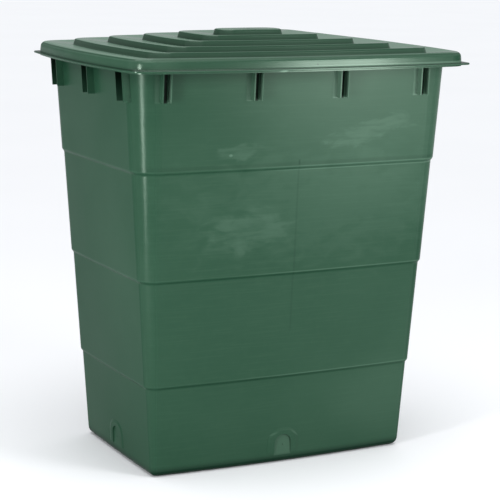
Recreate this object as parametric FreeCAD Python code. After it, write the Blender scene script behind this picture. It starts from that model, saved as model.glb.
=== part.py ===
"""Rectangular rainwater tank: a tapered, shouldered tub and a stepped lid that lifts off.

+Z is up, X runs along the two long sides and the front faces -Y.
The origin is the middle of the base, on the ground.  All lengths are in millimetres.
"""
import FreeCAD
import Part

import math
import os

# ---------------------------------------------------------------- driving dimensions
OVERALL_HEIGHT = 1003.0

# Tub: half sizes are at the rim, at the corners; a bow is how far a side's middle stands out.
WALL = 4.0
RIM_HEIGHT = 951.2
RIM_HALF_LENGTH = 401.2
RIM_HALF_WIDTH = 271.6
RIM_LONG_BOW = 8.5
BASE_LONG_BOW = 11.2
TUB_SHORT_BOW = 2.0
RIM_CORNER_RADIUS = 66.0
BASE_CORNER_RADIUS = 26.0                  # before the shoulders and the base rounding are taken off
SMALLEST_RADIUS = 3.0                      # of any corner, however far its outline is moved in
BASE_EDGE_RADIUS = 18.0
LENGTH_DRAFT = 0.0651                      # how far the two ends lean in for each unit of drop
WIDTH_DRAFT = 0.0613                       # the same for the two long sides
SHOULDER_HEIGHTS = (709.0, 462.8, 216.0)   # where the tub steps in, from the top down
SHOULDER_STEP = 4.15
SHOULDER_HEIGHT = 9.0                      # how tall each step's S-shaped slope is
SHOULDER_STEPS = 4
BASE_EDGE_STEPS = 6

# Rim: a flange round the mouth with a turned-down edge.
RIM_PROJECTION = 17.0
RIM_DROP = 14.0
RIM_THICKNESS = 4.0
RIM_EDGE = 2.0

# Ribs: pairs of thin plates that brace the rim flange.
RIB_BOTTOM = 864.0
RIB_PROJECTION = 16.0
RIB_PLATE = 3.0
LONG_RIB_PLACES = (-332.5, -115.5, 101.0, 315.5)
LONG_RIB_SPREAD = 20.0
LEFT_RIB_PLACES = (-210.5, -10.0, 188.0)
RIGHT_RIB_PLACES = (-10.0, 188.0)
END_RIB_SPREAD = 33.0

# Tap pads: upright flat arches low on each side, where a tap hole is drilled.
PAD_HALF_WIDTH = 21.5
PAD_BOTTOM = 20.0
PAD_TOP = 71.0
PAD_THICKNESS = 6.0
PAD_MARGIN = 5.0
PAD_MARK_RADIUS = 1.6
PAD_MARK_DEPTH = 1.0
HOOD_HALF_WIDTH = 34.0
HOOD_TOP = 80.0
HOOD_BOTTOM = 26.0
HOOD_RISE = 1.6
HOOD_EDGE = 7.0

# Lid: a skirt with a thin flange that stands out at the corners, and five risers with a tread
# in front of each that falls inwards to the riser's foot.
LID_WALL = 4.0
SKIRT_BOTTOM = 929.5
SKIRT_TOP = 962.2
SKIRT_HALF_LENGTH = 414.0
SKIRT_HALF_WIDTH = 308.0
SKIRT_LEAN = 1.0
LID_CORNER_RADIUS = 56.0
LID_LONG_BOW = 32.0
LID_SHORT_BOW = 22.0
FLANGE_BOTTOM = 933.0
FLANGE_PROJECTION = 7.7
FLANGE_THICKNESS = 4.0
FLANGE_CORNER_RADIUS = 20.6
FLANGE_EDGE = 1.0
RISERS = 5
RISER_LEAN = 1.5
TREAD_FALL = 6.3
TOP_HALF_LENGTH = 80.0
TOP_HALF_WIDTH = 38.0
TOP_CORNER_RADIUS = 35.0
TOP_BOW = 2.5
SKIRT_EDGE_RADIUS = 12.0
RISER_EDGE_RADIUS = 5.0
FOOT_RADIUS = 3.0
LID_EDGE_STEPS = 5
FOOT_STEPS = 3


# ---------------------------------------------------------------- shared outline
def rounded_outline(half_length, half_width, long_bow, short_bow, radius, z):
    """A wire of four shallow arcs that meet in tangent corner arcs, level at height z."""
    long_radius = (half_length ** 2 + long_bow ** 2) / (2 * long_bow)
    short_radius = (half_width ** 2 + short_bow ** 2) / (2 * short_bow)
    long_centre = FreeCAD.Vector(0, half_width + long_bow - long_radius, z)
    short_centre = FreeCAD.Vector(half_length + short_bow - short_radius, 0, z)

    # The corner's centre is one corner radius inside both side arcs.
    between = short_centre - long_centre
    gap = between.Length
    reach_long = long_radius - radius
    reach_short = short_radius - radius
    along = (reach_long ** 2 - reach_short ** 2 + gap ** 2) / (2 * gap)
    across = math.sqrt(reach_long ** 2 - along ** 2)
    forward = between / gap
    sideways = FreeCAD.Vector(forward.y, -forward.x, 0)
    corner = long_centre + forward * along + sideways * across

    long_end = long_centre + (corner - long_centre) * (long_radius / reach_long)
    short_end = short_centre + (corner - short_centre) * (short_radius / reach_short)
    bisector = (long_end - corner) + (short_end - corner)
    corner_middle = corner + bisector * (radius / bisector.Length)

    def at(point, x_sign, y_sign):
        return FreeCAD.Vector(point.x * x_sign, point.y * y_sign, z)

    right = FreeCAD.Vector(half_length + short_bow, 0, z)
    back = FreeCAD.Vector(0, half_width + long_bow, z)
    arcs = [
        (at(short_end, 1, -1), right, at(short_end, 1, 1)),
        (at(short_end, 1, 1), at(corner_middle, 1, 1), at(long_end, 1, 1)),
        (at(long_end, 1, 1), back, at(long_end, -1, 1)),
        (at(long_end, -1, 1), at(corner_middle, -1, 1), at(short_end, -1, 1)),
        (at(short_end, -1, 1), at(right, -1, 1), at(short_end, -1, -1)),
        (at(short_end, -1, -1), at(corner_middle, -1, -1), at(long_end, -1, -1)),
        (at(long_end, -1, -1), at(back, 1, -1), at(long_end, 1, -1)),
        (at(long_end, 1, -1), at(corner_middle, 1, -1), at(short_end, 1, -1)),
    ]
    return Part.Wire([Part.Arc(*arc).toShape() for arc in arcs])


def stacked_solid(outlines):
    """A closed solid whose skin runs straight from each outline to the next, capped at both ends."""
    faces = [Part.Face(outlines[0]), Part.Face(outlines[-1])]
    for lower, upper in zip(outlines, outlines[1:]):
        for first, second in zip(lower.Edges, upper.Edges):
            faces.append(Part.makeRuledSurface(first, second))
    shell = Part.makeShell(faces)
    shell.sewShape()
    solid = Part.makeSolid(shell)
    if solid.Volume < 0:
        solid.reverse()
    return solid


def turn_angles(steps):
    """Angles from 0 to a quarter turn, for the outlines that make a rounded edge."""
    return [math.pi / 2 * step / steps for step in range(steps + 1)]


# ---------------------------------------------------------------- tub
def long_bow(z):
    """How far the middle of a long side stands out at height z."""
    return BASE_LONG_BOW + (RIM_LONG_BOW - BASE_LONG_BOW) * z / RIM_HEIGHT


def tub_outline(z, inset=0.0):
    """The tub's outside at height z, moved inwards by an inset, with the walls' draft."""
    drop = RIM_HEIGHT - z
    share = z / RIM_HEIGHT
    radius = BASE_CORNER_RADIUS + (RIM_CORNER_RADIUS - BASE_CORNER_RADIUS) * share
    return rounded_outline(RIM_HALF_LENGTH - LENGTH_DRAFT * drop - inset,
                           RIM_HALF_WIDTH - WIDTH_DRAFT * drop - inset,
                           long_bow(z), TUB_SHORT_BOW, max(radius - inset, SMALLEST_RADIUS), z)


def wall_profile(bottom, inset, edge_radius):
    """(height, inset) pairs up a wall: rounded base edge, shoulders, then plain to the rim."""
    foot = inset + SHOULDER_STEP * len(SHOULDER_HEIGHTS)
    profile = []
    for angle in turn_angles(BASE_EDGE_STEPS):
        profile.append((bottom + edge_radius * (1 - math.cos(angle)),
                        foot + edge_radius * (1 - math.sin(angle))))
    for number, shoulder in enumerate(reversed(SHOULDER_HEIGHTS)):
        for step in range(SHOULDER_STEPS + 1):
            share = step / SHOULDER_STEPS
            ease = (1 - math.cos(math.pi * share)) / 2
            profile.append((shoulder + SHOULDER_HEIGHT * (share - 0.8),
                            foot - SHOULDER_STEP * (number + ease)))
    return profile


def tub_shell():
    """The tub's wall and rim flange as one closed skin, from the floor inside to the base."""
    rim_in = -RIM_PROJECTION
    lip_in = rim_in + RIM_THICKNESS
    under_rim = RIM_HEIGHT - RIM_THICKNESS
    lip_foot = RIM_HEIGHT - RIM_DROP
    inside = wall_profile(WALL, WALL, BASE_EDGE_RADIUS - WALL)
    rim = [
        (RIM_HEIGHT, WALL),
        (RIM_HEIGHT, rim_in + RIM_EDGE),
        (RIM_HEIGHT - RIM_EDGE, rim_in),
        (lip_foot, rim_in),
        (lip_foot, lip_in),
        (under_rim, lip_in),
        (under_rim, 0.0),
    ]
    outside = wall_profile(0.0, 0.0, BASE_EDGE_RADIUS)
    profile = inside + rim + outside[::-1]
    return stacked_solid([tub_outline(z, inset) for z, inset in profile])


def rim_block(bottom, top, inset):
    """A block between two heights near the rim, with the tub's outline moved in by inset."""
    return stacked_solid([tub_outline(bottom, inset), tub_outline(top, inset)])


def rib_plates():
    """Every rib plate: slabs through the walls, trimmed to the ribs' depth and to the wall."""
    top = RIM_HEIGHT - RIM_THICKNESS / 2
    height = top - RIB_BOTTOM
    limit = rim_block(RIB_BOTTOM, top, -RIB_PROJECTION)
    core = rim_block(RIB_BOTTOM - 1.0, top + 1.0, WALL / 2)
    reach = RIM_HALF_LENGTH + RIM_PROJECTION
    slabs = []
    for side in (-0.5, 0.5):
        for place in LONG_RIB_PLACES:
            x = place + side * LONG_RIB_SPREAD - RIB_PLATE / 2
            slabs.append(Part.makeBox(RIB_PLATE, 2 * reach, height,
                                      FreeCAD.Vector(x, -reach, RIB_BOTTOM)))
        for start, places in ((-reach, LEFT_RIB_PLACES), (0.0, RIGHT_RIB_PLACES)):
            for place in places:
                y = place + side * END_RIB_SPREAD - RIB_PLATE / 2
                slabs.append(Part.makeBox(reach, RIB_PLATE, height,
                                          FreeCAD.Vector(start, y, RIB_BOTTOM)))
    return [slab.common(limit).cut(core) for slab in slabs]


def arch_face(half_width, bottom, top, radius):
    """An upright face in the XZ plane: straight sides, with rounded top corners."""
    middle = radius * math.sqrt(0.5)
    left = -half_width
    right = half_width
    spring = top - radius
    points = {
        "foot_left": FreeCAD.Vector(left, 0, bottom),
        "foot_right": FreeCAD.Vector(right, 0, bottom),
        "spring_right": FreeCAD.Vector(right, 0, spring),
        "bend_right": FreeCAD.Vector(right - radius + middle, 0, spring + middle),
        "crown_right": FreeCAD.Vector(right - radius, 0, top),
        "crown_left": FreeCAD.Vector(left + radius, 0, top),
        "bend_left": FreeCAD.Vector(left + radius - middle, 0, spring + middle),
        "spring_left": FreeCAD.Vector(left, 0, spring),
    }
    edges = [
        Part.makeLine(points["foot_left"], points["foot_right"]),
        Part.makeLine(points["foot_right"], points["spring_right"]),
        Part.Arc(points["spring_right"], points["bend_right"], points["crown_right"]).toShape(),
    ]
    if half_width > radius:
        edges.append(Part.makeLine(points["crown_right"], points["crown_left"]))
    edges.append(Part.Arc(points["crown_left"], points["bend_left"],
                          points["spring_left"]).toShape())
    edges.append(Part.makeLine(points["spring_left"], points["foot_left"]))
    return Part.Face(Part.Wire(edges))


def pad_boss():
    """Extra wall behind a tap pad.  The pad's flat is the plane y = 0, with outside at -y."""
    face = arch_face(PAD_HALF_WIDTH + PAD_MARGIN, PAD_BOTTOM, PAD_TOP + PAD_MARGIN,
                     PAD_HALF_WIDTH + PAD_MARGIN)
    boss = face.extrude(FreeCAD.Vector(0, PAD_THICKNESS - 0.5, 0))
    boss.translate(FreeCAD.Vector(0, 0.5, 0))
    return boss


def pad_hood(draft):
    """The low raised hood round a tap pad's arch, leaning with its wall."""
    foot = arch_face(HOOD_HALF_WIDTH + HOOD_EDGE, HOOD_BOTTOM, HOOD_TOP + HOOD_EDGE,
                     HOOD_HALF_WIDTH).OuterWire
    crown = arch_face(HOOD_HALF_WIDTH, HOOD_BOTTOM, HOOD_TOP,
                      HOOD_HALF_WIDTH - HOOD_EDGE).OuterWire
    foot.translate(FreeCAD.Vector(0, 0.1, 0))
    crown.translate(FreeCAD.Vector(0, -HOOD_RISE, 0))
    hood = Part.makeLoft([foot, crown], True, True)
    lean = math.degrees(math.atan(draft))
    hood.rotate(FreeCAD.Vector(0, 0, PAD_BOTTOM), FreeCAD.Vector(1, 0, 0), lean)
    return hood


def pad_pocket():
    """What is cut away in front of a tap pad's flat, with the drilling mark."""
    face = arch_face(PAD_HALF_WIDTH, PAD_BOTTOM, PAD_TOP, PAD_HALF_WIDTH)
    pocket = face.extrude(FreeCAD.Vector(0, -10.0, 0))
    mark = Part.makeCylinder(PAD_MARK_RADIUS, PAD_MARK_DEPTH + 1.0,
                             FreeCAD.Vector(0, -1.0, (PAD_BOTTOM + PAD_TOP) / 2),
                             FreeCAD.Vector(0, 1, 0))
    return pocket.fuse(mark)


def place_on_side(shape, turn, distance):
    """Move a pad's shape to one side of the tub: turn about +Z, then out to its plane."""
    placed = shape.copy()
    placed.translate(FreeCAD.Vector(0, -distance, 0))
    placed.rotate(FreeCAD.Vector(0, 0, 0), FreeCAD.Vector(0, 0, 1), turn)
    return placed


def build_tub():
    """The one-piece tub: shell, rim flange, ribs and tap pads."""
    drop = RIM_HEIGHT - PAD_BOTTOM
    steps = SHOULDER_STEP * len(SHOULDER_HEIGHTS)
    front = RIM_HALF_WIDTH - WIDTH_DRAFT * drop - steps + long_bow(PAD_BOTTOM)
    end = RIM_HALF_LENGTH - LENGTH_DRAFT * drop - steps + TUB_SHORT_BOW
    sides = [(0, front, WIDTH_DRAFT), (90, end, LENGTH_DRAFT),
             (180, front, WIDTH_DRAFT), (270, end, LENGTH_DRAFT)]
    extras = []
    pockets = []
    for turn, distance, draft in sides:
        extras.append(place_on_side(pad_hood(draft), turn, distance))
        extras.append(place_on_side(pad_boss(), turn, distance))
        pockets.append(place_on_side(pad_pocket(), turn, distance))

    tub = tub_shell().fuse(rib_plates() + extras)
    return tub.cut(Part.makeCompound(pockets))


# ---------------------------------------------------------------- lid
def lid_outline(share, offset, z):
    """The lid's outline, from the skirt (share 0) to the top panel (share 1)."""
    def between(skirt, top):
        return skirt + (top - skirt) * share

    return rounded_outline(between(SKIRT_HALF_LENGTH, TOP_HALF_LENGTH) + offset,
                           between(SKIRT_HALF_WIDTH, TOP_HALF_WIDTH) + offset,
                           between(LID_LONG_BOW, TOP_BOW),
                           between(LID_SHORT_BOW, TOP_BOW),
                           between(LID_CORNER_RADIUS, TOP_CORNER_RADIUS) + offset, z)


def flange_outline(inset, z):
    """The flange's rim, moved inwards by an inset; its corners are sharper than the skirt's."""
    reach = FLANGE_PROJECTION - inset
    return rounded_outline(SKIRT_HALF_LENGTH + reach, SKIRT_HALF_WIDTH + reach,
                           LID_LONG_BOW, LID_SHORT_BOW, FLANGE_CORNER_RADIUS - inset, z)


def lid_flange():
    """Outlines up the outside of the lid's foot: the skirt's edge and the flange round it."""
    top = FLANGE_BOTTOM + FLANGE_THICKNESS
    return [
        lid_outline(0, 0.0, SKIRT_BOTTOM),
        lid_outline(0, 0.0, FLANGE_BOTTOM),
        flange_outline(FLANGE_EDGE, FLANGE_BOTTOM),
        flange_outline(0.0, FLANGE_BOTTOM + FLANGE_EDGE),
        flange_outline(0.0, top - FLANGE_EDGE),
        flange_outline(FLANGE_EDGE, top),
    ]


def rounded_top(share, offset, top, radius):
    """Profile points of a rounded outer edge whose upright face stands at the offset."""
    points = []
    for angle in turn_angles(LID_EDGE_STEPS):
        points.append((share, offset - radius * (1 - math.cos(angle)),
                       top - radius * (1 - math.sin(angle))))
    return points


def rounded_foot(share, offset, bottom, radius):
    """Profile points of the hollow curve at the foot of a riser or of the skirt."""
    points = []
    for angle in turn_angles(FOOT_STEPS):
        points.append((share, offset + radius * (1 - math.sin(angle)),
                       bottom + radius * (1 - math.cos(angle))))
    return points


def lid_outside():
    """(share, offset, height) points of the lid's outside, from above the flange to the top."""
    rise = (OVERALL_HEIGHT - SKIRT_TOP) / RISERS
    points = rounded_foot(0, 0.0, FLANGE_BOTTOM + FLANGE_THICKNESS, FOOT_RADIUS)
    points += rounded_top(0, -SKIRT_LEAN, SKIRT_TOP, SKIRT_EDGE_RADIUS)
    for riser in range(1, RISERS + 1):
        share = riser / RISERS
        foot = SKIRT_TOP + (riser - 1) * rise - TREAD_FALL
        points += rounded_foot(share, RISER_LEAN, foot, FOOT_RADIUS)
        points += rounded_top(share, 0.0, SKIRT_TOP + riser * rise, RISER_EDGE_RADIUS)
    return points


def lid_underside():
    """(share, offset, height) points of the lid's underside, from the mouth to the top."""
    rise = (OVERALL_HEIGHT - SKIRT_TOP) / RISERS
    top = SKIRT_TOP - LID_WALL
    points = [(0, -LID_WALL, SKIRT_BOTTOM), (0, -LID_WALL - SKIRT_LEAN, top)]
    for riser in range(1, RISERS + 1):
        share = riser / RISERS
        points.append((share, RISER_LEAN - LID_WALL, top + (riser - 1) * rise - TREAD_FALL))
        points.append((share, -LID_WALL, top + riser * rise))
    return points


def build_lid():
    """The one-piece lid as one closed skin: underside, flange, skirt and stepped top."""
    underside = [lid_outline(*point) for point in reversed(lid_underside())]
    outside = [lid_outline(*point) for point in lid_outside()]
    return stacked_solid(underside + lid_flange() + outside)


# ---------------------------------------------------------------- output
def main():
    os.makedirs("parts", exist_ok=True)
    parts = {"tub": build_tub(), "lid": build_lid()}
    for name, shape in parts.items():
        box = shape.BoundBox
        print(name, "valid", shape.isValid(), "solids", len(shape.Solids),
              "volume", round(shape.Volume / 1e6, 3), "litres",
              "size", round(box.XLength, 1), round(box.YLength, 1), round(box.ZLength, 1))
        shape.exportStep("parts/" + name + ".step")


main()
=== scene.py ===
"""Looks of the rainwater tank: moulded green plastic, a pale studio and the camera."""

import math

import bpy
from mathutils import Matrix, Vector

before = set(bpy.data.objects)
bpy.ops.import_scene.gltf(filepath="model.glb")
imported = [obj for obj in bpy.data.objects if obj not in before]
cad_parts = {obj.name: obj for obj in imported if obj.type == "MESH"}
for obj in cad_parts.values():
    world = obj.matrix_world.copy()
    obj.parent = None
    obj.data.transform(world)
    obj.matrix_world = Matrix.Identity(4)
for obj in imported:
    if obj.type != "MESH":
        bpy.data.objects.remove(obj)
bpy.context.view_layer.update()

# ---------------------------------------------------------------- camera
CAMERA_PLACE = Vector((-1.8297, -3.6588, 1.2411))
CAMERA_TURN = math.radians(-26.755)   # from +Y, positive towards -X
CAMERA_TILT = math.radians(-10.647)   # negative looks down
CAMERA_ROLL = math.radians(0.895)
CAMERA_SENSOR = 36.0
CAMERA_LENS = 124.21
CAMERA_REACH = 200.0                  # how far it sees, in metres


def add_camera():
    """The camera, turned, tilted and rolled as the view asks."""
    forward = Vector((-math.sin(CAMERA_TURN) * math.cos(CAMERA_TILT),
                      math.cos(CAMERA_TURN) * math.cos(CAMERA_TILT),
                      math.sin(CAMERA_TILT)))
    level = Vector((math.cos(CAMERA_TURN), math.sin(CAMERA_TURN), 0.0))
    upright = level.cross(forward)
    right = level * math.cos(CAMERA_ROLL) + upright * math.sin(CAMERA_ROLL)
    up = upright * math.cos(CAMERA_ROLL) - level * math.sin(CAMERA_ROLL)
    data = bpy.data.cameras.new("camera")
    data.sensor_width = CAMERA_SENSOR
    data.lens = CAMERA_LENS
    data.clip_end = CAMERA_REACH
    camera = bpy.data.objects.new("camera", data)
    axes = Matrix((right, up, -forward)).transposed()
    camera.matrix_world = Matrix.Translation(CAMERA_PLACE) @ axes.to_4x4()
    bpy.context.scene.collection.objects.link(camera)
    bpy.context.scene.camera = camera


# ---------------------------------------------------------------- node trees
MIX_SHARE = 0                # a colour mix's sockets, by their order
MIX_FIRST = 6
MIX_SECOND = 7
MIX_RESULT = 2


class Shader:
    """One material's node tree, with short calls for the nodes that it uses.

    place, x, y and z are the point in the object's frame, and normal_x, normal_y and normal_z
    are the surface's normal there.
    """

    def __init__(self, name):
        self.material = bpy.data.materials.new(name)
        self.material.use_nodes = True
        self.tree = self.material.node_tree
        self.surface = self.tree.nodes["Principled BSDF"]
        coordinates = self.tree.nodes.new("ShaderNodeTexCoord")
        self.place = coordinates.outputs["Object"]
        self.x, self.y, self.z = self.add("ShaderNodeSeparateXYZ", self.place).outputs
        normal = self.add("ShaderNodeSeparateXYZ", coordinates.outputs["Normal"])
        self.normal_x, self.normal_y, self.normal_z = normal.outputs

    def add(self, kind, *values, **settings):
        """A new node; values go to its inputs in order, and None leaves an input alone."""
        node = self.tree.nodes.new(kind)
        for name, value in settings.items():
            setattr(node, name, value)
        for socket, value in zip(node.inputs, values):
            self.feed(socket, value)
        return node

    def feed(self, socket, value):
        """Link a socket to another, or set its value; None leaves it alone."""
        if isinstance(value, bpy.types.NodeSocket):
            self.tree.links.new(value, socket)
        elif value is not None:
            socket.default_value = value

    def math(self, operation, *values):
        """The result of one sum, by Blender's name for it."""
        return self.add("ShaderNodeMath", *values, operation=operation).outputs[0]

    def ramp(self, value, low, high, out_low=0.0, out_high=1.0):
        """value turned smoothly from out_low at low to out_high at high."""
        return self.add("ShaderNodeMapRange", value, low, high, out_low, out_high,
                        interpolation_type="SMOOTHSTEP").outputs[0]

    def band(self, value, middle, half, soft):
        """1 within half of the middle, and 0 from half + soft on."""
        away = self.math("ABSOLUTE", self.math("SUBTRACT", value, middle))
        return self.ramp(away, half, half + soft, 1.0, 0.0)

    def bands(self, value, middles, offset, half, soft):
        """The same at every one of the middles, each moved by offset."""
        return self.most([self.band(value, middle + offset, half, soft) for middle in middles])

    def between(self, value, low, high, soft):
        """1 from low to high, and 0 from soft outside them."""
        return self.band(value, (low + high) / 2, (high - low) / 2, soft)

    def product(self, *values):
        """All the values multiplied together."""
        result = values[0]
        for value in values[1:]:
            result = self.math("MULTIPLY", result, value)
        return result

    def most(self, values):
        """The largest of the values."""
        result = values[0]
        for value in values[1:]:
            result = self.math("MAXIMUM", result, value)
        return result

    def reach(self, across, upward):
        """The straight distance that two steps at right angles cover."""
        return self.math("SQRT", self.math("ADD", self.math("POWER", across, 2.0),
                                           self.math("POWER", upward, 2.0)))

    def noise(self, scale, detail=2.0, stretch=(1.0, 1.0, 1.0), warp=0.0):
        """Fractal noise with features about 1/scale metres wide, squeezed by stretch."""
        mapping = self.add("ShaderNodeMapping", self.place, None, None, stretch)
        node = self.add("ShaderNodeTexNoise")
        self.feed(node.inputs["Vector"], mapping.outputs[0])
        self.feed(node.inputs["Scale"], scale)
        self.feed(node.inputs["Detail"], detail)
        self.feed(node.inputs["Distortion"], warp)
        return node.outputs[0]

    def mix(self, share, first, second):
        """A colour between first and second."""
        node = self.add("ShaderNodeMix", data_type="RGBA")
        self.feed(node.inputs[MIX_SHARE], share)
        self.feed(node.inputs[MIX_FIRST], first)
        self.feed(node.inputs[MIX_SECOND], second)
        return node.outputs[MIX_RESULT]

    def bump(self, height, distance, strength, normal=None):
        """A normal bent by a height that stands up to distance metres."""
        node = self.add("ShaderNodeBump")
        self.feed(node.inputs["Strength"], strength)
        self.feed(node.inputs["Distance"], distance)
        self.feed(node.inputs["Height"], height)
        self.feed(node.inputs["Normal"], normal)
        return node.outputs[0]

    def patch(self, middle, half, soft, slope=0.0, ragged=None):
        """1 inside an ellipse on the front wall, which climbs by slope; 0 well outside it.

        ragged is a value about 0 that moves the edge in and out.
        """
        across = self.math("SUBTRACT", self.x, middle[0])
        upward = self.math("SUBTRACT", self.z, middle[1])
        if slope:
            upward = self.math("SUBTRACT", upward, self.math("MULTIPLY", across, slope))
        reach = self.reach(self.math("DIVIDE", across, half[0]),
                           self.math("DIVIDE", upward, half[1]))
        if ragged is not None:
            reach = self.math("ADD", reach, ragged)
        return self.ramp(reach, 1.0 - soft, 1.0 + soft, 1.0, 0.0)


# ---------------------------------------------------------------- moulded plastic
GREEN = (0.0158, 0.0545, 0.0300, 1.0)
RUBBED_GREEN = (0.0330, 0.081, 0.049, 1.0)
# PALE_GREEN and DEEP_GREEN serve both for real rub marks, seams and mould marks and for painted
# highlights and painted shade; BLACK_GREEN is only painted shade in the rib gaps.
PALE_GREEN = (0.200, 0.320, 0.240, 1.0)
DEEP_GREEN = (0.004, 0.021, 0.011, 1.0)
BLACK_GREEN = (0.0006, 0.0018, 0.0011, 1.0)
GREEN_GLINT = (0.78, 1.0, 0.84, 1.0)

TUB_SHINE = 0.18             # how strongly the plastic mirrors, against plain plastic's 0.5
SKIRT_SHINE = 0.46
STEP_SHINE = 0.07
DULL_SHINE = 0.03            # on the ends and on what faces down or to the right
TUB_ROUGHNESS = (0.29, 0.35)
LID_ROUGHNESS = (0.22, 0.27)
CORNER_POLISH = 0.75         # an upright corner's roughness against a wall's

CLOUDS_PER_METRE = 2.6       # broad patches of uneven tint
MOTTLES_PER_METRE = 60.0     # finer spots in them
FINISHES_PER_METRE = 8.0     # smoother and rougher places
GRAINS_PER_METRE = 900.0     # the mould's fine texture
GRAIN_HEIGHT = 0.0002
WAVES_PER_METRE = 4.0        # the long waves that big moulded walls have
WAVE_HEIGHT = 0.004


def base_plastic(shader, marks, roughness, shine, corner_shine):
    """Green plastic: cloudy tint, a fine grain and long soft waves in the surface.

    marks is a list of (mask, strength, colour) laid over the tint in turn, roughness holds the
    smoothest and the roughest finish, and shine, a number or a socket, is the front's;
    corner_shine is the upright corners'.
    """
    clouds = shader.noise(CLOUDS_PER_METRE, detail=4.0)
    colour = shader.mix(shader.ramp(clouds, 0.35, 0.75, 0.0, 0.35), GREEN, RUBBED_GREEN)
    mottle = shader.noise(MOTTLES_PER_METRE, detail=3.0)
    colour = shader.mix(shader.ramp(mottle, 0.45, 0.8, 0.0, 0.10), colour, RUBBED_GREEN)
    for mask, strength, tint in marks:
        colour = shader.mix(shader.math("MULTIPLY", mask, strength), colour, tint)
    shader.feed(shader.surface.inputs["Base Color"], colour)

    # From 0 where the surface faces the front or back to 1 on the ends; a corner lies between.
    endward = shader.math("ABSOLUTE", shader.normal_x)
    frontward = shader.math("ABSOLUTE", shader.normal_y)
    facing_end = shader.math("DIVIDE", endward, shader.math("ADD", endward, frontward))
    corner = shader.band(facing_end, middle=0.5, half=0.2, soft=0.15)

    finish = shader.noise(FINISHES_PER_METRE, detail=3.0)
    polish = shader.ramp(corner, 0.0, 1.0, 1.0, CORNER_POLISH)
    rough = shader.math("MULTIPLY", shader.ramp(finish, 0.3, 0.75, *roughness), polish)
    shader.feed(shader.surface.inputs["Roughness"], rough)

    dull = shader.most([
        shader.ramp(facing_end, 0.62, 0.90),
        shader.ramp(shader.normal_z, -0.15, -0.45),
        shader.ramp(shader.normal_x, 0.12, 0.45)])
    glossy = shader.ramp(corner, 0.0, 1.0, shine, corner_shine)
    shader.feed(shader.surface.inputs["Specular IOR Level"],
                shader.ramp(dull, 0.0, 1.0, glossy, DULL_SHINE))
    shader.feed(shader.surface.inputs["Specular Tint"], GREEN_GLINT)

    grain = shader.bump(shader.noise(GRAINS_PER_METRE, detail=1.0), GRAIN_HEIGHT, strength=0.12)
    waves = shader.bump(shader.noise(WAVES_PER_METRE, detail=1.0), WAVE_HEIGHT, strength=0.25,
                        normal=grain)
    shader.feed(shader.surface.inputs["Normal"], waves)


# ---------------------------------------------------------------- tub
FRONT_EDGE = -0.15           # every part of the tub's front side has y below this
END_EDGE = 0.3               # and every part of its ends has x beyond this

# Places on the front wall, each an ellipse: its middle and half its size, across and
# up the wall, how soft its edge is, and how steeply it climbs to the right. Most are rub marks
# and paler places; the broad sheen at the upper right and the glints by the tap pad are
# painted highlights.
# painted highlight: the right softbox's reflection, broad on the front wall's upper right
PAINTED_SHEEN = {"middle": (0.22, 0.88), "half": (0.30, 0.24), "soft": 0.55}
HAZE = {"middle": (0.10, 0.62), "half": (0.32, 0.11), "soft": 0.6}
SWATH = {"middle": (0.18, 0.785), "half": (0.105, 0.022), "soft": 0.30, "slope": 0.22}
MARK = {"middle": (-0.166, 0.747), "half": (0.050, 0.019), "soft": 0.25, "slope": 0.12}
NICK = {"middle": (-0.170, 0.742), "half": (0.004, 0.003), "soft": 0.5}
SMUDGE = {"middle": (-0.12, 0.57), "half": (0.085, 0.040), "soft": 0.35}
# painted highlights on the raised hood round the front tap pad's arch
PAD_GLINTS = (
    {"middle": (-0.025, 0.0735), "half": (0.011, 0.0025), "soft": 0.6, "slope": 0.3},
    {"middle": (0.030, 0.0715), "half": (0.009, 0.0025), "soft": 0.6, "slope": -0.8},
)
LOW_HAZE = {"middle": (0.27, 0.14), "half": (0.13, 0.08), "soft": 0.6}

SEAM_PLACE = 0.003           # the mould's faint seam, and how far up the front it runs
SEAM_SPAN = (0.335, 0.702)
SEAM_NICK_PLACE = 0.002
SEAM_NICK_SPAN = (0.716, 0.724)
SCRATCH_LEAN = 0.45          # how far the scratch runs left for each metre up
SCRATCH_FOOT = -0.2105       # where its line would meet the ground
SCRATCH_SPAN = (0.326, 0.360)

SHOULDERS = (0.709, 0.4628, 0.216)
BASE_SHADE = (0.009, 0.027)   # painted shade along the base: full up to the first height and gone at the second
LID_SHADE = (0.885, 0.930)   # none up to the first height and full from the second
LID_SHADE_END = (0.938, 0.944)

RIB_FOOT = 0.864
RIB_TOP = 0.935
RIM_FOOT = 0.9365            # underside of the rim's turned-down edge
LONG_RIB_PLACES = (-0.3325, -0.1155, 0.101, 0.3155)
LONG_GAP_SHIFT = -0.0013     # the dark part leaves the right side of the gap lighter
LONG_GAP_HALF = 0.0070
LONG_GAP_WALL = 0.245        # the ribs stand further out than this
LONG_GAP_FOOT = 0.95         # how dark the gap is at its foot, against 1 under the rim
END_RIB_PLACES = (-0.2105, -0.010, 0.188)
END_GAP_HALF = 0.01515       # a little over half the gap, so that the plates' inner faces count
END_GAP_WALL = 0.370
END_GAP_FOOT = 0.50

PAD_HALF_WIDTH = 0.0213
PAD_FOOT = 0.020
PAD_SPRING = 0.0495          # where a tap pad's straight sides meet its round top
PAD_EDGE = 0.0004
LONG_PAD_WALL = 0.195        # the pads' flats stand further out than this
END_PAD_WALL = 0.310


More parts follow.
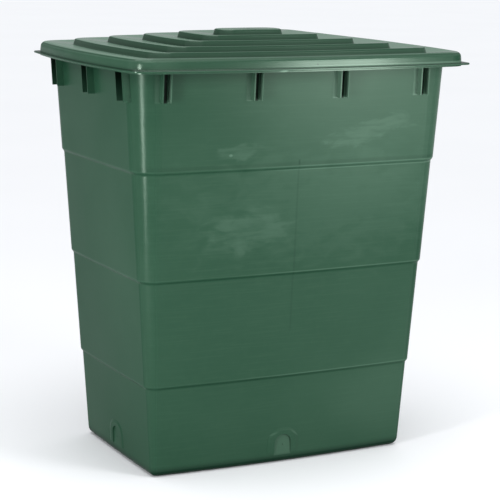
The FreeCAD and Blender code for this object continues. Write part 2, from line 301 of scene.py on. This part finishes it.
def front_marks(shader, front):
    """Rub marks, paler places, seam and scratch on the front wall, and painted highlights, each a
    (mask, strength, colour).
    """
    x, z = shader.x, shader.z
    streaks = shader.noise(9.0, detail=4.0, stretch=(1.0, 1.0, 30.0), warp=0.2)
    wander = shader.noise(16.0, detail=5.0, stretch=(1.0, 1.0, 2.2), warp=0.6)
    ragged = shader.math("MULTIPLY", shader.math("SUBTRACT", wander, 0.5), 2.6)
    smear = shader.ramp(shader.noise(30.0, detail=4.0, stretch=(0.5, 1.0, 2.5)),
                        0.30, 0.62, 0.25, 1.0)
    slant = shader.math("ADD", x, shader.math("MULTIPLY", z, SCRATCH_LEAN))
    scratch = shader.product(shader.band(slant, SCRATCH_FOOT, half=0.0004, soft=0.0012),
                             shader.between(z, *SCRATCH_SPAN, soft=0.008))
    seam = shader.product(shader.band(x, SEAM_PLACE, half=0.0012, soft=0.0022),
                          shader.between(z, *SEAM_SPAN, soft=0.02))
    seam_nick = shader.product(shader.band(x, SEAM_NICK_PLACE, half=0.0012, soft=0.002),
                               shader.between(z, *SEAM_NICK_SPAN, soft=0.004))
    marks = [
        (shader.ramp(streaks, 0.45, 0.72), 0.22, RUBBED_GREEN),
        # painted highlight at the upper right
        (shader.patch(**PAINTED_SHEEN), 0.10, PALE_GREEN),
        (shader.patch(**HAZE, ragged=ragged), 0.05, PALE_GREEN),
        (shader.product(shader.patch(**SWATH, ragged=ragged), smear), 0.10, PALE_GREEN),
        (shader.product(shader.patch(**MARK, ragged=ragged), smear), 0.09, PALE_GREEN),
        (shader.patch(**NICK), 0.25, PALE_GREEN),
        (shader.product(shader.patch(**SMUDGE, ragged=ragged), smear), 0.08, PALE_GREEN),
        (scratch, 0.25, PALE_GREEN),
        (seam, 0.18, DEEP_GREEN),
        (seam_nick, 0.4, DEEP_GREEN),
        # painted glints by the tap pad
        (shader.most([shader.patch(**glint) for glint in PAD_GLINTS]), 0.10, PALE_GREEN),
        (shader.patch(**LOW_HAZE), 0.04, PALE_GREEN),
    ]
    return [(shader.product(mask, front), strength, colour) for mask, strength, colour in marks]


def pad_flat(shader, along, outward, wall):
    """1 on the arched flats of two opposite sides' tap pads."""
    upright = shader.product(shader.band(along, 0.0, PAD_HALF_WIDTH, PAD_EDGE),
                             shader.between(shader.z, PAD_FOOT, PAD_SPRING, PAD_EDGE / 2))
    reach = shader.reach(along, shader.math("SUBTRACT", shader.z, PAD_SPRING))
    crown = shader.ramp(reach, PAD_HALF_WIDTH, PAD_HALF_WIDTH + PAD_EDGE, 1.0, 0.0)
    side = shader.math("GREATER_THAN", shader.math("ABSOLUTE", outward), wall)
    return shader.product(shader.most([upright, crown]), side)


def pad_highlights(shader):
    """Painted light on the tap pads' upright flats, which catch more light than the leaning wall.
    """
    return [
        (pad_flat(shader, shader.x, shader.y, LONG_PAD_WALL), 0.11, PALE_GREEN),
        (pad_flat(shader, shader.y, shader.x, END_PAD_WALL), 0.03, PALE_GREEN),
    ]


def rib_light_and_shade(shader, front_side):
    """Painted light on the front's rib plates and the wall beside them, less of it to the left,
    and painted shade on the left end's rib plates.
    """
    x, y, z = shader.x, shader.y, shader.z
    heights = shader.between(z, RIB_FOOT, RIB_TOP, soft=0.003)
    front_ribs = shader.product(heights, front_side)
    left_ribs = shader.product(heights, shader.math("LESS_THAN", x, -END_EDGE))
    flat = shader.ramp(shader.normal_y, -0.80, -0.95)
    left_faces = shader.bands(x, LONG_RIB_PLACES, offset=-0.0150, half=0.0036, soft=0.0065)
    gap_faces = shader.bands(x, LONG_RIB_PLACES, offset=0.0088, half=0.0006, soft=0.0003)
    wall_beside = shader.bands(x, LONG_RIB_PLACES, offset=-0.0158, half=0.0026, soft=0.0045)
    end_faces = shader.bands(y, END_RIB_PLACES, offset=-0.0240, half=0.0066, soft=0.0050)
    return [
        (shader.product(left_faces, front_ribs), shader.ramp(x, -0.35, 0.2, 0.05, 0.34),
         PALE_GREEN),
        (shader.product(gap_faces, front_ribs), 0.25, PALE_GREEN),
        (shader.product(end_faces, left_ribs), 0.04, DEEP_GREEN),
        (shader.product(wall_beside, front_ribs, flat), shader.ramp(x, -0.35, 0.2, 0.05, 0.30),
         PALE_GREEN),
    ]


def shoulder_light_and_shade(shader, front):
    """Painted shade in a fold under each shoulder and a painted highlight line on it, and two
    more, one of each, at the top one.
    """
    x, z = shader.x, shader.z
    top_shoulder = SHOULDERS[:1]
    hollow_shade = shader.bands(z, top_shoulder, offset=0.0075, half=0.0012, soft=0.0060)
    crest_highlights = shader.bands(z, SHOULDERS, offset=0.0018, half=0.0005, soft=0.0016)
    fold_shades = shader.bands(z, SHOULDERS, offset=-0.0032, half=0.0008, soft=0.0020)
    bead_highlights = shader.bands(z, top_shoulder, offset=-0.0065, half=0.0006, soft=0.0016)
    return [
        (shader.product(hollow_shade, front), 0.20, DEEP_GREEN),
        (shader.product(crest_highlights, shader.ramp(x, -0.20, 0.05, 0.25, 1.0)), 0.14, PALE_GREEN),
        (shader.product(fold_shades, shader.ramp(x, -0.10, 0.20, 1.0, 0.5)), 0.30, DEEP_GREEN),
        (shader.product(bead_highlights, shader.ramp(x, -0.15, 0.05), front), 0.18, PALE_GREEN),
    ]


def shade_marks(shader):
    """Painted shade along the base, and painted shade under the lid on the outward faces, deeper
    at the left.
    """
    x, y, z = shader.x, shader.y, shader.z
    base = shader.ramp(z, *BASE_SHADE, 1.0, 0.0)
    outward = shader.math("ADD", shader.product(x, shader.normal_x),
                          shader.product(y, shader.normal_y))
    under_lid = shader.product(shader.math("GREATER_THAN", outward, 0.0),
                               shader.ramp(z, *LID_SHADE),
                               shader.ramp(z, *LID_SHADE_END, 1.0, 0.0),
                               shader.ramp(x, -0.10, 0.25, 1.0, 0.45))
    return [(base, 0.92, DEEP_GREEN), (under_lid, 0.60, DEEP_GREEN)]


def channel_mark(shader, gaps, outward, facing, wall, foot):
    """Painted shade in the gaps in the ribs of two opposite sides, where gaps is 1.

    outward is the place across those sides and facing the normal's share of it, which leaves
    out the inside of the wall. foot is how dark a gap is at its foot.
    """
    side = shader.product(
        shader.math("GREATER_THAN", shader.math("ABSOLUTE", outward), wall),
        shader.math("GREATER_THAN", shader.math("MULTIPLY", outward, facing), -0.05))
    heights = shader.between(shader.z, RIB_FOOT - 0.001, RIM_FOOT, soft=0.0006)
    fade = shader.ramp(shader.z, RIB_FOOT - 0.01, 0.940, foot, 1.0)
    return shader.product(gaps, side, heights), fade, BLACK_GREEN


def channel_marks(shader):
    """Painted shade in the gaps between the rib plates, lighter down the ends' ribs."""
    x, y = shader.x, shader.y
    long_gaps = shader.bands(x, LONG_RIB_PLACES, LONG_GAP_SHIFT, LONG_GAP_HALF, soft=0.0002)
    end_gaps = shader.bands(y, END_RIB_PLACES, 0.0, END_GAP_HALF, soft=0.0002)
    return [
        channel_mark(shader, long_gaps, y, shader.normal_y, LONG_GAP_WALL, LONG_GAP_FOOT),
        channel_mark(shader, end_gaps, x, shader.normal_x, END_GAP_WALL, END_GAP_FOOT),
    ]


def tub_plastic():
    """The tub's plastic, with its rub marks and seam, and painted highlights and painted shade:
    along the base, under the lid, at the shoulders and in the rib gaps.
    """
    shader = Shader("tub_plastic")
    front_side = shader.math("LESS_THAN", shader.y, FRONT_EDGE)
    front = shader.product(front_side, shader.ramp(shader.normal_y, -0.35, -0.75))
    marks = (front_marks(shader, front) + pad_highlights(shader) + rib_light_and_shade(shader, front_side)
             + shoulder_light_and_shade(shader, front) + shade_marks(shader) + channel_marks(shader))
    base_plastic(shader, marks, TUB_ROUGHNESS, TUB_SHINE, TUB_SHINE)
    return shader.material


# ---------------------------------------------------------------- lid
LID_HALF_LENGTH = 0.414
LID_HALF_WIDTH = 0.308
LID_FRONT_EDGE = -0.28       # every part of the skirt's front has y below this
LID_STEPS = (0.953, 0.957)   # the painted sheen and light on the steps start between these heights
STEP_SHINE_START = (0.955, 0.962)
CREASE_FOOT = 0.960          # the painted shade in the steps' inner corners lies above this
CREASE_WIDTH = 0.012         # and this is how far their shade reaches
LEFT_SKIRT_SPAN = (0.938, 0.958)
FLANGE_TOP = 0.9415
GROOVE_SPAN = (0.9372, 0.9420)
GATE_EDGE = (0.004, 0.006)   # the round mark at the top that the mould's inlet leaves
GATE_HEIGHT = 0.990
DOT = {"middle": (0.003, 0.945), "half": (0.0022, 0.0022), "soft": 0.4}
KNOCK = {"middle": (-0.080, 0.932), "half": (0.009, 0.0022), "soft": 0.5}


def step_light_and_shade(shader):
    """The lid's steps: a painted sheen on the treads, less at the front, painted light on the
    risers, and painted shade in the inner corners.
    """
    forward = shader.math("DIVIDE", shader.y, -LID_HALF_WIDTH)
    aside = shader.math("DIVIDE", shader.math("ABSOLUTE", shader.x), LID_HALF_LENGTH)
    front_quarter = shader.ramp(shader.math("SUBTRACT", forward, aside), -0.25, 0.25)
    steps = shader.ramp(shader.z, *LID_STEPS)
    treads = shader.product(shader.ramp(shader.normal_z, 0.75, 0.97), steps,
                            shader.ramp(front_quarter, 0.0, 1.0, 1.0, 0.42))
    risers = shader.product(shader.ramp(shader.normal_z, 0.75, 0.25), steps)
    crease_occlusion = shader.add("ShaderNodeAmbientOcclusion")
    shader.feed(crease_occlusion.inputs["Distance"], CREASE_WIDTH)
    crease_shade = shader.product(shader.ramp(crease_occlusion.outputs["AO"], 0.95, 0.55),
                             shader.math("GREATER_THAN", shader.z, CREASE_FOOT))
    return [(treads, 0.80, PALE_GREEN), (crease_shade, 0.60, DEEP_GREEN), (risers, 0.17, PALE_GREEN)]


def skirt_light_and_shade(shader, front):
    """Painted light on the skirt's left end and groove, and painted shade on its flange's top."""
    z, upward = shader.z, shader.normal_z
    left_skirt_light = shader.product(shader.between(z, *LEFT_SKIRT_SPAN, soft=0.003),
                                shader.ramp(shader.x, -0.30, -0.36))
    flange = shader.product(shader.ramp(upward, 0.2, 0.7),
                            shader.math("LESS_THAN", z, FLANGE_TOP))
    groove = shader.product(shader.between(z, *GROOVE_SPAN, soft=0.0015), front,
                            shader.ramp(shader.x, -0.15, 0.05, 0.1, 1.0),
                            shader.ramp(upward, 0.9, 0.5))
    return [(left_skirt_light, 0.06, PALE_GREEN), (flange, 0.55, DEEP_GREEN), (groove, 0.30, PALE_GREEN)]


def lid_plastic():
    """The lid's plastic, with the mould's mark at its top, and a spot and a knock in front."""
    shader = Shader("lid_plastic")
    front = shader.math("LESS_THAN", shader.y, LID_FRONT_EDGE)
    scuffs = shader.ramp(shader.noise(14.0, detail=4.0, stretch=(1.0, 1.0, 3.0)), 0.5, 0.8)
    gate = shader.product(shader.ramp(shader.reach(shader.x, shader.y), *GATE_EDGE, 1.0, 0.0),
                          shader.math("GREATER_THAN", shader.z, GATE_HEIGHT))
    marks = [(scuffs, 0.25, RUBBED_GREEN)] + step_light_and_shade(shader) + skirt_light_and_shade(shader, front) + [
        (gate, 0.7, DEEP_GREEN),
        (shader.product(shader.patch(**DOT), front), 0.8, DEEP_GREEN),
        (shader.product(shader.patch(**KNOCK), front), 0.5, PALE_GREEN),
    ]
    shine = shader.ramp(shader.z, *STEP_SHINE_START, SKIRT_SHINE, STEP_SHINE)
    base_plastic(shader, marks, LID_ROUGHNESS, shine, SKIRT_SHINE)
    return shader.material


# ---------------------------------------------------------------- studio
ROOM_COLOUR = (0.95, 0.97, 1.0, 1.0)
ROOM_STRENGTH = 0.4
FLOOR_SPAN = 300.0           # far past the edge of the picture
FLOOR_CLOUDS_PER_METRE = 0.8
FLOOR_SHADES = ((0.885, 0.895, 0.915, 1.0), (0.895, 0.905, 0.925, 1.0))
OVERHEAD_STRENGTH = 2.05
OVERHEAD_SPREAD = math.radians(70.0)
OVERHEAD_HEIGHT = 4.0
SOFTBOXES = {
    "right_softbox": {"bearing": 29.5, "distance": 2.3, "bottom": 0.5,
                      "size": (0.76, 1.0), "radiance": 12.5},
    "left_softbox": {"bearing": -63.0, "distance": 2.3, "bottom": 0.1,
                     "size": (0.35, 1.1), "radiance": 25.0},
}


def add_room():
    """Even pale light from all round."""
    world = bpy.data.worlds.new("studio")
    world.use_nodes = True
    background = world.node_tree.nodes["Background"]
    background.inputs["Color"].default_value = ROOM_COLOUR
    background.inputs["Strength"].default_value = ROOM_STRENGTH
    bpy.context.scene.world = world
    bpy.context.scene.view_settings.view_transform = "Standard"


def add_floor():
    """The pale floor."""
    bpy.ops.mesh.primitive_plane_add(size=FLOOR_SPAN)
    floor = bpy.context.object
    floor.name = "floor"
    shader = Shader("floor")
    shade = shader.mix(shader.ramp(shader.noise(FLOOR_CLOUDS_PER_METRE), 0.3, 0.7), *FLOOR_SHADES)
    shader.feed(shader.surface.inputs["Base Color"], shade)
    shader.feed(shader.surface.inputs["Roughness"], 0.9)
    shader.feed(shader.surface.inputs["Specular IOR Level"], 0.0)
    floor.data.materials.append(shader.material)


def add_overhead():
    """Very soft light from straight above."""
    data = bpy.data.lights.new("overhead", "SUN")
    data.energy = OVERHEAD_STRENGTH
    data.angle = OVERHEAD_SPREAD
    light = bpy.data.objects.new("overhead", data)
    light.location = (0.0, 0.0, OVERHEAD_HEIGHT)
    bpy.context.scene.collection.objects.link(light)


def add_softbox(name, bearing, distance, bottom, size, radiance):
    """An upright rectangular light that faces the tank from a bearing right of the front."""
    angle = math.radians(bearing)
    width, height = size
    data = bpy.data.lights.new(name, "AREA")
    data.shape = "RECTANGLE"
    data.size = width
    data.size_y = height
    data.energy = radiance * math.pi * width * height
    light = bpy.data.objects.new(name, data)
    light.location = (math.sin(angle) * distance, -math.cos(angle) * distance,
                      bottom + height / 2)
    light.rotation_euler = (math.pi / 2, 0.0, angle)
    bpy.context.scene.collection.objects.link(light)


add_camera()
add_room()
add_floor()
add_overhead()
for softbox_name, softbox in SOFTBOXES.items():
    add_softbox(softbox_name, **softbox)
materials = {"tub": tub_plastic(), "lid": lid_plastic()}
for node_name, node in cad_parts.items():
    for slot in node.material_slots:
        slot.material = materials[node_name]
